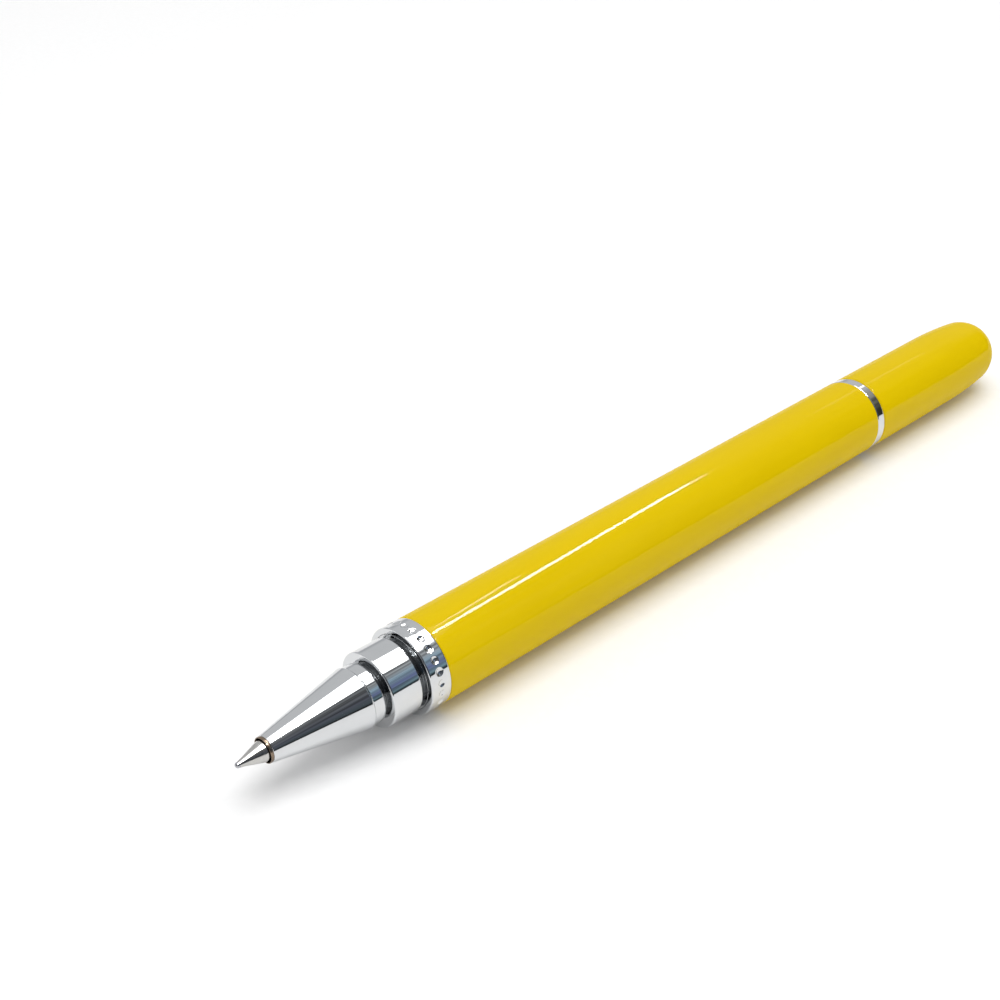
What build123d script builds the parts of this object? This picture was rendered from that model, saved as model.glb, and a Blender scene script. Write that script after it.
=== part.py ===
from build123d import *
from math import cos, radians, sin
import os

# A capped ballpoint pen with a push button, lying on a table with its point out and its cap posted on the tail.
# The pen's axis is parallel to X, the point is towards -X and the tail towards +X. Z is up, z = 0 is the table,
# and the origin is below the middle of the pen. All sizes are in millimetres.

os.makedirs("parts", exist_ok=True)

# ---------------------------------------------------------------------------------------------------------------
# Driving dimensions
# ---------------------------------------------------------------------------------------------------------------

# Outside of the pen, from the point to the end of the cap.
barrel_diameter = 11.0
point_reach = 3.6
cone_length = 12.45
collar_width = 1.6
cone_groove_width = 0.45
band_width = 4.1
neck_width = 0.7
front_ring_width = 2.9
barrel_length = 83.2
rear_ring_width = 1.5
rear_groove_width = 0.35
rear_band_width = 4.05
stem_exposed = 2.45
knob_length = 2.65
cap_gap = 0.1
cap_length = 33.4

# Radii of the outside steps.
barrel_r = barrel_diameter / 2
band_r = 4.35
neck_r = 3.9
cone_groove_r = 3.2
collar_r = 3.7
cone_base_r = 3.85
cone_front_r = 1.62
lip_r = 1.58
rear_groove_r = 3.9
stem_r = 3.45
knob_r = 3.9

# Clearances: a part that slides in another, and a part that only has to pass.
running_fit = 0.05
free_gap = 0.1

# Motion of the click mechanism, from the latched position with the point out.
retract_travel = 4.5
over_press = 1.2

# Barrel and the pieces pressed into it.
barrel_wall = 0.6
barrel_bore_r = barrel_r - barrel_wall
ring_spigot = 5.0
bushing_length = 9.0
ring_edge = 0.15
dimple_count = 24
dimple_r = 0.65
dimple_depth = 0.2

# Nose thread, drawn as plain rings so that the nose can be drawn straight out.
shank_r = 4.0
shank_bore_r = 3.1
shank_length = 14.9
thread_pitch = 0.75
thread_depth = 0.2
spigot_r = 2.95
spigot_length = 3.3
seal_wire_r = 0.28
seal_pocket_depth = 0.8
seal_pocket_r = 4.75
seal_flange = 0.12

# Refill.
point_r = 1.25
mouth_r = 1.32
ball_r = 0.35
point_cone = 3.3
point_body = 8.1
point_holder_r = 1.6
spring_bore_r = 2.45
spring_seat = 8.4
spring_r = 2.05
spring_wire_r = 0.175
spring_turns = 8
spring_collar_r = 2.6
refill_r = 2.9
refill_bore_r = 2.5
refill_front = 24.8
refill_length = 59.0
plug_length = 3.0

# Click mechanism.
sleeve_bore_r = 3.55
slot_r = 4.05
slot_width = 1.7
lug_count = 4
tooth_count = 8
tooth_height = 0.7
lug_r = 3.45
lug_width = 1.5
lug_length = 3.0
rotor_r = 2.8
rotor_length = 5.4
pivot_r = 1.15
rib_r = 3.95
rib_width = 1.5
rib_length = 5.0
plunger_length = 8.6

# Cap.
cap_wall = 0.5
cap_lip_edge = 0.3
dome_r = 5.05
dome_angle = radians(6)
liner_length = 14.5
liner_inset = 0.5
cup_flange = 1.0
cup_depth = 9.2
cup_wall = 0.8
cup_r = 4.0

# ---------------------------------------------------------------------------------------------------------------
# Stations along the pen, from the point to the cap
# ---------------------------------------------------------------------------------------------------------------

nose_length = point_reach + cone_length + collar_width + cone_groove_width + band_width + neck_width
pen_length = nose_length + front_ring_width + barrel_length + rear_ring_width + cap_gap + cap_length

x_tip = -pen_length / 2
x_mouth = x_tip + point_reach
x_collar = x_mouth + cone_length
x_cone_groove = x_collar + collar_width
x_band = x_cone_groove + cone_groove_width
x_neck = x_band + band_width
x_ring = x_neck + neck_width
x_barrel = x_ring + front_ring_width
x_rear_ring = x_barrel + barrel_length
x_rear_groove = x_rear_ring + rear_ring_width
x_rear_band = x_rear_groove + rear_groove_width
x_stem = x_rear_band + rear_band_width
x_knob = x_stem + stem_exposed
x_knob_end = x_knob + knob_length
x_cap = x_rear_groove + cap_gap
x_cap_end = x_cap + cap_length

x_bushing = x_barrel + ring_spigot
x_shank_end = x_ring + shank_length
x_spring_seat = x_mouth + spring_seat
x_refill = x_tip + refill_front
x_spring_collar = x_refill - 1.0
x_refill_end = x_refill + refill_length
x_plug_end = x_refill_end + plug_length
x_rotor = x_plug_end + free_gap
x_teeth = x_rotor + rotor_length
x_plunger = x_teeth + 2 * tooth_height + free_gap
x_ribs = x_plunger + 0.8
x_rear_shank = x_ribs + rib_length + retract_travel + free_gap
x_sleeve = x_plug_end - over_press - 1.0
x_stem_front = x_plunger + plunger_length
x_liner_end = x_cap + liner_inset + liner_length

parts = {}


# ---------------------------------------------------------------------------------------------------------------
# Shapes that repeat
# ---------------------------------------------------------------------------------------------------------------


def lathe(outline):
    """Turn a closed outline of (x, radius) points about the pen's axis."""
    return revolve(make_face(Polyline(*outline, close=True)), Axis.X)


def sleeve(x_start, x_end, outer, inner, edge=0.0):
    """A round sleeve, with its outer ends chamfered by edge."""
    outline = [(x_start, inner), (x_start, outer - edge), (x_start + edge, outer)]
    outline += [(x_end - edge, outer), (x_end, outer - edge), (x_end, inner)]
    if edge == 0.0:
        outline = [(x_start, inner), (x_start, outer), (x_end, outer), (x_end, inner)]
    return lathe(outline)


def rod(x_start, x_end, radius, edge=0.0):
    """A round bar, with its ends chamfered by edge."""
    return sleeve(x_start, x_end, radius, 0.0, edge)


def around(shape, count, start=0.0):
    """Copies of a shape, evenly spaced round the pen's axis."""
    return [Rot(start + 360 * i / count, 0, 0) * shape for i in range(count)]


def ball(x_centre, radius):
    """A ball on the pen's axis, with its poles on the axis."""
    return Pos(x_centre, 0, 0) * Rot(0, 90, 0) * Sphere(radius)


def thread_rings(x_start, x_end, crest, root):
    """V-shaped rings between the crest and root radii, spaced as a thread's turns."""
    rings = []
    half = thread_pitch * 0.4
    turns = int((x_end - x_start) / thread_pitch)
    for turn in range(turns):
        x = x_start + thread_pitch * (turn + 0.5)
        rings.append(lathe([(x - half, crest), (x, root), (x + half, crest)]))
    return rings


def crown(x_root, inner, outer, direction):
    """A crown of saw-shaped teeth that points along direction, from its base at x_root."""
    x_top = x_root + direction * tooth_height
    teeth = sleeve(min(x_root, x_top), max(x_root, x_top), outer, inner)
    half = 0.8 * inner * sin(radians(180 / tooth_count))
    foot = x_root + direction * 0.15
    above = x_top + direction * 0.5
    gap = make_face(Polyline((foot, -half), (above, -half), (above, half), close=True))
    return teeth - around(extrude(gap, outer + 1.0), tooth_count, 180 / tooth_count)


# ---------------------------------------------------------------------------------------------------------------
# Barrel
# ---------------------------------------------------------------------------------------------------------------


def make_barrel():
    """Lacquered tube, chromed rings, threaded bushing, refill guide, rear band and cam sleeve."""
    parts["barrel_tube"] = sleeve(x_barrel, x_rear_ring, barrel_r, barrel_bore_r)

    thread_bore = shank_r + running_fit
    ring = sleeve(x_ring, x_barrel, barrel_r, thread_bore, ring_edge)
    ring += sleeve(x_barrel, x_bushing, barrel_bore_r, thread_bore)
    ring -= rod(x_ring - 1, x_ring + seal_pocket_depth, seal_pocket_r)
    dimple = Pos(x_ring + front_ring_width / 2, 0, barrel_r + dimple_r - dimple_depth) * Sphere(dimple_r)
    parts["front_ring"] = ring - around(dimple, dimple_count, 180 / dimple_count)

    bushing = sleeve(x_bushing, x_bushing + bushing_length, barrel_bore_r, thread_bore)
    thread_end = x_bushing + bushing_length - thread_pitch
    bushing -= thread_rings(x_bushing, thread_end, thread_bore - 0.02, thread_bore + thread_depth)
    parts["front_bushing"] = bushing

    x_guide = x_barrel + 30.0
    parts["refill_guide"] = sleeve(x_guide, x_guide + 6.0, barrel_bore_r, refill_r + 0.08)

    parts["rear_ring"] = sleeve(x_rear_ring, x_rear_groove, barrel_r, band_r + 0.02, ring_edge)

    band = sleeve(x_rear_shank, x_rear_ring, barrel_bore_r, stem_r + running_fit)
    band += sleeve(x_rear_ring, x_rear_groove, band_r + 0.02, stem_r + running_fit)
    band += sleeve(x_rear_groove, x_rear_band, rear_groove_r, stem_r + running_fit)
    band += sleeve(x_rear_band, x_stem, band_r, stem_r + running_fit, 0.3)
    parts["rear_band"] = band

    cam = sleeve(x_sleeve, x_rear_shank, barrel_bore_r, sleeve_bore_r)
    slot = Pos((x_teeth + x_rear_shank) / 2, 0, slot_r / 2) * Box(x_rear_shank - x_teeth, slot_width, slot_r)
    cam -= around(slot, lug_count)
    cam -= rod(x_sleeve - 1, x_teeth, slot_r)
    parts["cam_sleeve"] = cam


# ---------------------------------------------------------------------------------------------------------------
# Nose section
# ---------------------------------------------------------------------------------------------------------------


def make_nose():
    """Band with its threaded shank, cone, mouth bush and seal ring."""
    bore_step = x_band + 1.0
    x_spigot = x_cone_groove - spigot_length
    band = sleeve(x_spigot, x_cone_groove, spigot_r, spring_bore_r)
    band += sleeve(x_cone_groove, x_band, cone_groove_r, spring_bore_r)
    band += sleeve(x_band, x_neck, band_r, spring_bore_r, ring_edge)
    band += sleeve(x_neck, x_ring, neck_r, spring_bore_r)
    band += sleeve(x_ring, x_shank_end, shank_r, spring_bore_r)
    band += sleeve(x_ring, x_ring + seal_flange, seal_pocket_r - running_fit, shank_bore_r)
    band -= rod(bore_step, x_shank_end + 1, shank_bore_r)
    x_thread = x_ring + 3.0
    band -= thread_rings(x_thread, x_shank_end, shank_r + 0.02, shank_r - thread_depth)
    parts["nose_band"] = band

    x_cone = x_mouth + 0.35
    shell = [(x_cone, 0), (x_cone, cone_front_r), (x_collar, cone_base_r), (x_collar + 0.1, collar_r)]
    shell += [(x_cone_groove - ring_edge, collar_r), (x_cone_groove, collar_r - ring_edge), (x_cone_groove, 0)]
    bush_r = 1.48
    bush_end = x_mouth + 3.0
    cone = lathe(shell)
    cone -= rod(x_spigot, x_cone_groove + 1, spigot_r)
    cone -= rod(x_spring_seat, x_cone_groove, spring_bore_r)
    cone -= rod(bush_end, x_spring_seat, point_holder_r + 0.25)
    cone -= rod(x_mouth, bush_end, bush_r)
    parts["nose_cone"] = cone

    lip_edge = 0.14
    bush = sleeve(x_cone, bush_end, bush_r, mouth_r)
    bush += lathe([(x_mouth, mouth_r), (x_mouth, lip_r - lip_edge), (x_mouth + lip_edge, lip_r),
                   (x_cone, lip_r), (x_cone, mouth_r)])
    parts["point_bush"] = bush

    x_seal = x_ring + seal_flange + seal_wire_r
    seal = Pos(x_seal, shank_r + seal_wire_r, 0) * Circle(seal_wire_r)
    parts["nose_seal_ring"] = revolve(seal, Axis.X)


# ---------------------------------------------------------------------------------------------------------------
# Refill and spring
# ---------------------------------------------------------------------------------------------------------------


def make_refill():
    """Point, ball, neck, spring collar, tube, ink, end plug and the return spring."""
    x_ball = x_tip + ball_r
    ball_seat_r = ball_r + 0.02
    x_point_cone = x_tip + ball_r + 0.1
    x_point_end = x_tip + point_body
    channel_r = 0.4
    tail_r = 0.8
    point = lathe([(x_point_cone, 0), (x_point_cone, ball_r + 0.03), (x_tip + 1.0, 0.5),
                   (x_tip + point_cone, point_r), (x_point_end, point_r), (x_point_end, 0)])
    point += rod(x_point_end, x_point_end + 3.0, tail_r)
    point -= ball(x_ball, ball_seat_r)
    point -= rod(x_ball + ball_r + 0.3, x_point_end + 4.0, channel_r)
    parts["writing_point"] = point
    parts["writing_ball"] = ball(x_ball, ball_r)

    spigot_end = x_refill + 5.0
    holder = rod(x_point_end, x_refill, point_holder_r)
    holder += rod(x_refill, spigot_end, refill_bore_r)
    holder -= rod(x_point_end - 1, x_point_end + 3.0, tail_r)
    holder -= rod(x_point_end, spigot_end + 1, channel_r)
    parts["point_holder"] = holder

    parts["spring_collar"] = sleeve(x_spring_collar, x_refill, spring_collar_r, point_holder_r)
    parts["refill_tube"] = sleeve(x_refill, x_refill_end, refill_r, refill_bore_r)
    parts["ink_column"] = rod(spigot_end, x_refill_end - 8.0, refill_bore_r - 0.02)

    plug = rod(x_refill_end - 4.0, x_refill_end, refill_bore_r)
    plug += rod(x_refill_end, x_plug_end, refill_r, 0.2)
    plug -= rod(x_plug_end - 1.6, x_plug_end + 1, pivot_r + running_fit)
    plug -= rod(x_refill_end - 5.0, x_plug_end, channel_r)
    parts["refill_plug"] = plug

    spring_length = x_spring_collar - x_spring_seat - 2 * spring_wire_r
    coil = Helix(pitch=spring_length / spring_turns, height=spring_length, radius=spring_r)
    wire = sweep((coil ^ 0) * Circle(spring_wire_r), coil, is_frenet=True)
    parts["return_spring"] = Pos(x_spring_seat + spring_wire_r, 0, 0) * Rot(0, 90, 0) * wire


# ---------------------------------------------------------------------------------------------------------------
# Click mechanism
# ---------------------------------------------------------------------------------------------------------------


def make_click():
    """Turning cam, toothed plunger, stem and knob."""
    crown_bore = 1.6
    pilot_r = 1.0
    rotor = rod(x_rotor, x_teeth, rotor_r)
    rotor += rod(x_rotor - 1.5, x_rotor, pivot_r)
    lug = Pos(x_teeth - lug_length / 2, 0, lug_r / 2) * Box(lug_length, lug_width, lug_r)
    lug_ring = rod(x_teeth - lug_length, x_teeth, lug_r)
    for piece in around(lug & lug_ring, lug_count, 45):
        rotor += piece
    rotor += crown(x_teeth, crown_bore, rotor_r, 1)
    rotor += rod(x_teeth, x_teeth + 4.5, pilot_r)
    parts["cam_rotor"] = rotor

    plunger = rod(x_plunger, x_stem_front, stem_r)
    spigot_r_in_stem = 2.4
    plunger += rod(x_stem_front, x_stem_front + 4.0, spigot_r_in_stem)
    rib = Pos(x_ribs + rib_length / 2, 0, rib_r / 2) * Box(rib_length, rib_width, rib_r)
    rib_ring = rod(x_ribs, x_ribs + rib_length, rib_r)
    for piece in around(rib & rib_ring, lug_count):
        plunger += piece
    plunger += crown(x_plunger, crown_bore, rotor_r, -1)
    plunger -= rod(x_plunger - 1, x_plunger + 3.5, pilot_r + running_fit)
    parts["plunger"] = plunger

    stem = sleeve(x_stem_front, x_knob, stem_r, spigot_r_in_stem)
    tenon_r = 2.8
    tenon_length = 1.4
    stem += sleeve(x_knob, x_knob + tenon_length, tenon_r, spigot_r_in_stem)
    parts["button_stem"] = stem

    edge_r = 1.0
    dome_height = 0.3
    x_edge = x_knob_end - dome_height - edge_r
    with BuildPart() as knob:
        with BuildSketch(Plane.XY):
            with BuildLine():
                Polyline((x_knob_end, 0), (x_knob, 0), (x_knob, knob_r - ring_edge),
                         (x_knob + ring_edge, knob_r), (x_edge, knob_r))
                RadiusArc((x_edge, knob_r), (x_edge + edge_r, knob_r - edge_r), edge_r)
                rim_r = knob_r - edge_r
                cap_radius = (rim_r**2 + dome_height**2) / (2 * dome_height)
                RadiusArc((x_edge + edge_r, rim_r), (x_knob_end, 0), cap_radius)
            make_face()
        revolve(axis=Axis.X)
    parts["button_knob"] = knob.part - rod(x_knob - 1, x_knob + tenon_length, tenon_r)


# ---------------------------------------------------------------------------------------------------------------
# Cap
# ---------------------------------------------------------------------------------------------------------------


def cap_form(inset):
    """Solid of the cap's outside, or the same form set in by a wall's thickness."""
    drop = barrel_r - dome_r * cos(dome_angle)
    taper_radius = drop / (1 - cos(dome_angle))
    x_centre = x_cap_end - dome_r
    x_taper = x_centre + dome_r * sin(dome_angle) - taper_radius * sin(dome_angle)
    dome = dome_r - inset
    taper = taper_radius - inset
    join = (x_taper + taper * sin(dome_angle), barrel_r - taper_radius + taper * cos(dome_angle))
    x_lip = x_cap - (1.0 if inset else 0.0)
    with BuildPart() as form:
        with BuildSketch(Plane.XY):
            with BuildLine():
                Polyline((x_centre + dome, 0), (x_lip, 0), (x_lip, barrel_r - inset - cap_lip_edge),
                         (x_lip + cap_lip_edge, barrel_r - inset), (x_taper, barrel_r - inset))
                RadiusArc((x_taper, barrel_r - inset), join, taper)
                RadiusArc(join, (x_centre + dome, 0), dome)
            make_face()
        revolve(axis=Axis.X)
    return form.part


def make_cap():
    """Lacquered shell, liner, clutch ring, inner cup with its seal, and the core of the dome."""
    shell = cap_form(0.0) - cap_form(cap_wall)
    parts["cap_shell"] = shell

    liner_r = barrel_r - cap_wall
    clutch_bore = band_r + running_fit
    groove_start = x_cap + 1.9
    liner = sleeve(x_cap + liner_inset, x_liner_end, liner_r, clutch_bore)
    liner -= sleeve(groove_start, groove_start + 1.4, clutch_bore + 0.38, clutch_bore - 0.1)
    parts["cap_liner"] = liner

    clutch = sleeve(groove_start + 0.1, groove_start + 1.3, clutch_bore + 0.35, clutch_bore)
    split = Pos(groove_start, 0, -clutch_bore) * Box(4, 0.8, 3)
    parts["clutch_ring"] = clutch - split

    mouth = 3.0
    throat = 2.4
    x_cup_end = x_liner_end + cup_depth
    cup = sleeve(x_liner_end, x_liner_end + cup_flange, liner_r - 0.02, mouth)
    cup += rod(x_liner_end + cup_flange, x_cup_end + cup_wall, cup_r)
    cup -= lathe([(x_liner_end - 1, 0), (x_liner_end - 1, mouth), (x_liner_end, mouth),
                  (x_liner_end + 4.0, throat), (x_cup_end, throat), (x_cup_end, 0)])
    parts["inner_cup"] = cup
    parts["cup_seal"] = rod(x_cup_end - 0.8, x_cup_end, throat - 0.02)

    x_plug = x_cup_end + cup_wall
    plug_r = 4.15
    parts["cap_plug"] = lathe([(x_plug, 0), (x_plug, plug_r), (x_plug + 3.9, plug_r), (x_plug + 5.9, 3.45),
                               (x_plug + 7.1, 2.3), (x_plug + 7.4, 0)])


make_barrel()
make_nose()
make_refill()
make_click()
make_cap()

for name, solid in parts.items():
    export_step(Pos(0, 0, barrel_r) * solid, f"parts/{name}.step")
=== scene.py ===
"""The looks of a lacquered push-button ballpoint pen, lying with its point out and its cap on the tail.

The pen's axis is parallel to X, the point is towards -X and the tail towards +X. Lengths inside the piece
classes are in millimetres along and across that axis. Each finished mesh is brought to metres in the frame.
"""

import logging
from dataclasses import dataclass
from enum import Enum
from functools import lru_cache
from math import asin, atan2, cos, hypot, pi, radians, sin
from typing import Iterable, Sequence

import bmesh
import bpy
from mathutils import Matrix, Vector


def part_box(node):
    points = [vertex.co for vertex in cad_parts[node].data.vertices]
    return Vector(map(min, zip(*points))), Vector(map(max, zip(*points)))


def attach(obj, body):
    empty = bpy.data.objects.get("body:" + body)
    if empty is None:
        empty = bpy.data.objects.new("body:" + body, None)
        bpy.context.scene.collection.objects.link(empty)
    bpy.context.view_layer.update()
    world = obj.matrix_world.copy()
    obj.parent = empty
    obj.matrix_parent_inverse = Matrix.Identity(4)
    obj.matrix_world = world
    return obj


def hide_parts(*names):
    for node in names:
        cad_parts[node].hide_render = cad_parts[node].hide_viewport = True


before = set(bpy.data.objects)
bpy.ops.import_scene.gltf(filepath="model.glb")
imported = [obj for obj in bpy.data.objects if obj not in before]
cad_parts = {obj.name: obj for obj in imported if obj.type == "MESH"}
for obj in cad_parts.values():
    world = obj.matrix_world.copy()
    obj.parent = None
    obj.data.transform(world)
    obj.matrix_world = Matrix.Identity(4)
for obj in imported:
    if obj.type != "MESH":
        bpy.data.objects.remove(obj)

logging.basicConfig(level=logging.INFO, format="%(name)s: %(message)s")
log = logging.getLogger("pen")

Triple = tuple[float, float, float]
Colour = Triple
Limits = tuple[float, float]
Socket = bpy.types.NodeSocket
Stops = Sequence[tuple[float, Colour]]

MM = 0.001
WELD = 0.0005
SHARP = radians(38)

# Nearly all of a noise pattern's values lie between these two.
NOISE_RANGE: Limits = (0.3, 0.7)

# A run longer than this many reaches gets steadying points. The second number is a reach that leaves a round
# piece without them.
LONG_RUN = 6
UNSTEADIED = 1.0

ORIGIN: Triple = (0.0, 0.0, 0.0)
PEN_AXIS: Triple = (1.0, 0.0, 0.0)


# --- Names ---


class Body(Enum):
    """The bodies that the pieces ride on."""

    BARREL = "barrel"
    NOSE = "nose"
    REFILL = "refill"
    BUTTON = "button"
    CAP = "cap"


class Slot(Enum):
    """The record's material slots that the pieces stand for."""

    LACQUER = "lacquer"
    CHROME = "chrome"
    BRASS = "brass"
    STEEL = "steel"
    BLACK = "black_plastic"
    WHITE = "white_plastic"
    RUBBER = "rubber"


# --- Finishes ---


class Nodes:
    """A node tree, with short ways to add the nodes that the finishes and the surround share."""

    def __init__(self, tree: bpy.types.NodeTree) -> None:
        """Take up a tree."""
        self.tree = tree

    def node(self, kind: str, **settings: object) -> bpy.types.Node:
        """Add a node.

        Args:
            kind: The node's type, without its ShaderNode prefix.
            **settings: Properties to set on it.

        Returns:
            The node.
        """
        made = self.tree.nodes.new(f"ShaderNode{kind}")
        for name, value in settings.items():
            setattr(made, name, value)
        return made

    def link(self, source: Socket, target: Socket) -> None:
        """Join an output to an input."""
        self.tree.links.new(source, target)

    def pattern(self, place: Socket, scale: float, detail: float, roughness: float = 0.5) -> Socket:
        """A noise pattern over given coordinates.

        Args:
            place: The coordinates.
            scale: How many features there are to a unit.
            detail: How many finer layers it has.
            roughness: How strong the finer layers are.

        Returns:
            The pattern's value, from 0 to 1.
        """
        noise = self.node("TexNoise")
        for name, number in (("Scale", scale), ("Detail", detail), ("Roughness", roughness)):
            noise.inputs[name].default_value = number
        self.link(place, noise.inputs["Vector"])
        return noise.outputs["Fac"]

    def spread(
        self, value: Socket, source: Limits, target: Limits = (0.0, 1.0), curve: str = "LINEAR",
    ) -> Socket:
        """Bring a value from one range to another.

        Args:
            value: The value.
            source: Its range.
            target: The new range.
            curve: How it runs between the two ends.

        Returns:
            The new value.
        """
        step = self.node("MapRange", interpolation_type=curve)
        names = ("From Min", "From Max", "To Min", "To Max")
        for name, number in zip(names, (*source, *target)):
            step.inputs[name].default_value = number
        self.link(value, step.inputs["Value"])
        return step.outputs["Result"]

    def ramp(self, value: Socket, stops: Stops) -> Socket:
        """Colours that change with a value.

        Args:
            value: The value.
            stops: Each colour and the value that it stands at, in rising order.

        Returns:
            The colour.
        """
        ramp = self.node("ValToRGB")
        elements = ramp.color_ramp.elements
        while len(elements) < len(stops):
            elements.new(0.5)
        for element, (position, colour) in zip(elements, stops):
            element.position = position
            element.color = (*colour, 1.0)
        self.link(value, ramp.inputs["Fac"])
        return ramp.outputs["Color"]

    def mix(self, share: Socket, first: Socket, second: Socket | float) -> Socket:
        """Mix two colours.

        Args:
            share: The share of the second colour.
            first: The first colour.
            second: The second colour, or the level of an even grey.

        Returns:
            The mixed colour.
        """
        mixer = self.node("Mix", data_type="RGBA")
        low, high = (socket for socket in mixer.inputs if socket.type == "RGBA")
        self.link(share, mixer.inputs["Factor"])
        self.link(first, low)
        if isinstance(second, float):
            high.default_value = (second, second, second, 1.0)
        else:
            self.link(second, high)
        return next(socket for socket in mixer.outputs if socket.type == "RGBA")


class Graph(Nodes):
    """A material's node tree, with its shader."""

    def __init__(self, name: str) -> None:
        """Start a material.

        Args:
            name: The material's name.
        """
        self.material = bpy.data.materials.new(name)
        self.material.use_nodes = True
        super().__init__(self.material.node_tree)
        self.shader = self.tree.nodes["Principled BSDF"]

    def socket(self, name: str) -> Socket:
        """The shader's socket of a name that is in lower case, with underscores."""
        return next(s for s in self.shader.inputs if s.name.lower().replace(" ", "_") == name)

    def set(self, **values: float) -> None:
        """Set constant values on the shader's own sockets, by their names."""
        for name, value in values.items():
            self.socket(name).default_value = value

    def wire(self, **sources: Socket) -> None:
        """Join patterns to the shader's sockets, by their names."""
        for name, source in sources.items():
            self.link(source, self.socket(name))

    def noise(self, stretch: Sequence[float], detail: float = 2.0, roughness: float = 0.5) -> Socket:
        """A noise pattern on the piece.

        Args:
            stretch: The pattern's scale along X, Y and Z, in features to a metre.
            detail: How many finer layers it has.
            roughness: How strong the finer layers are.

        Returns:
            The pattern's value, from 0 to 1.
        """
        coordinates = self.node("TexCoord")
        mapping = self.node("Mapping")
        mapping.inputs["Scale"].default_value = stretch
        self.link(coordinates.outputs["Object"], mapping.inputs["Vector"])
        return self.pattern(mapping.outputs["Vector"], 1.0, detail, roughness)

    def between(self, value: Socket, limits: Limits) -> Socket:
        """Spread a pattern's value over a range."""
        return self.spread(value, NOISE_RANGE, limits)

    def blend(self, value: Socket, first: Colour, second: Colour) -> Socket:
        """Mix two colours by a pattern."""
        return self.ramp(value, tuple(zip(NOISE_RANGE, (first, second))))

    def bump(self, height: Socket, depth: float) -> Socket:
        """Raise a pattern as relief.

        Args:
            height: The pattern.
            depth: The relief's height, in millimetres.

        Returns:
            The relief's normal.
        """
        relief = self.node("Bump")
        relief.inputs["Distance"].default_value = depth * MM
        self.link(height, relief.inputs["Height"])
        return relief.outputs["Normal"]


class Coating:
    """A finish that can be made into a material."""

    def make(self, name: str) -> bpy.types.Material:
        """Build the finish.

        Args:
            name: The material's name.

        Returns:
            The material.
        """
        graph = Graph(name)
        self.paint(graph)
        return graph.material

    def paint(self, graph: Graph) -> None:
        """Add the finish's nodes to a new material."""
        raise NotImplementedError


@dataclass(frozen=True)
class Lacquer(Coating):
    """Deep gloss lacquer, sprayed on brass: an even colour under a clear coat with a trace of orange peel."""

    colour: Colour = (0.71, 0.505, 0.001)
    deeper: Colour = (0.69, 0.485, 0.0008)
    cloud_scale: Triple = (60.0, 240.0, 240.0)
    body_roughness: float = 0.42
    coat: float = 0.25
    coat_roughness: float = 0.035
    coat_ior: float = 1.48
    peel: float = 0.0001
    peel_scale: Triple = (1500.0, 1500.0, 1500.0)

    def paint(self, graph: Graph) -> None:
        """Add the coloured body and the clear coat.

        Args:
            graph: The material's node tree.
        """
        graph.set(
            roughness=self.body_roughness, specular_ior_level=0.0, coat_weight=self.coat,
            coat_roughness=self.coat_roughness, coat_ior=self.coat_ior,
        )
        cloud = graph.noise(self.cloud_scale, detail=3.0)
        peel = graph.noise(self.peel_scale, detail=1.0)
        graph.wire(
            base_color=graph.blend(cloud, self.colour, self.deeper),
            coat_normal=graph.bump(peel, self.peel),
        )


@dataclass(frozen=True)
class Plating(Coating):
    """Bright plate on turned metal: nearly a mirror, with faint haze and the finest turning marks."""

    colour: Colour = (0.69, 0.70, 0.71)
    haze_colour: Colour = (0.66, 0.67, 0.68)
    haze_scale: Triple = (420.0, 420.0, 420.0)
    polish: Limits = (0.035, 0.075)
    turning: float = 0.00012
    turning_scale: Triple = (26000.0, 60.0, 60.0)

    def paint(self, graph: Graph) -> None:
        """Add the haze and the turning marks.

        Args:
            graph: The material's node tree.
        """
        graph.set(metallic=1.0)
        haze = graph.noise(self.haze_scale, detail=4.0, roughness=0.6)
        marks = graph.noise(self.turning_scale, detail=1.0)
        graph.wire(
            base_color=graph.blend(haze, self.colour, self.haze_colour),
            roughness=graph.between(haze, self.polish),
            normal=graph.bump(marks, self.turning),
        )


@dataclass(frozen=True)
class TurnedMetal(Coating):
    """Bare metal from the lathe or the drawing bench, with rings round the axis and slight staining."""

    colour: Colour
    stain: Colour
    polish: Limits = (0.2, 0.34)
    rings: float = 0.0015
    brushing: float = 0.35
    stain_scale: Triple = (500.0, 500.0, 500.0)
    ring_scale: Triple = (14000.0, 40.0, 40.0)

    def paint(self, graph: Graph) -> None:
        """Add the staining and the rings.

        Args:
            graph: The material's node tree.
        """
        graph.set(metallic=1.0, anisotropic=self.brushing)
        stain = graph.noise(self.stain_scale, detail=4.0, roughness=0.65)
        rings = graph.noise(self.ring_scale)
        graph.wire(
            base_color=graph.blend(stain, self.colour, self.stain),
            roughness=graph.between(rings, self.polish),
            normal=graph.bump(rings, self.rings),
        )


@dataclass(frozen=True)
class Moulding(Coating):
    """Moulded plastic with the fine texture of its tool and a little variation in its gloss."""

    colour: Colour
    shade: Colour
    polish: Limits = (0.36, 0.52)
    grain: float = 0.003
    see_through: float = 0.0
    ior: float = 1.5
    cloud_scale: Triple = (300.0, 300.0, 300.0)
    grain_scale: Triple = (9000.0, 9000.0, 9000.0)

    def paint(self, graph: Graph) -> None:
        """Add the shading and the grain.

        Args:
            graph: The material's node tree.
        """
        graph.set(ior=self.ior, transmission_weight=self.see_through)
        cloud = graph.noise(self.cloud_scale, detail=3.0)
        grain = graph.noise(self.grain_scale)
        graph.wire(
            base_color=graph.blend(cloud, self.colour, self.shade),
            roughness=graph.between(cloud, self.polish),
            normal=graph.bump(grain, self.grain),
        )


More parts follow.
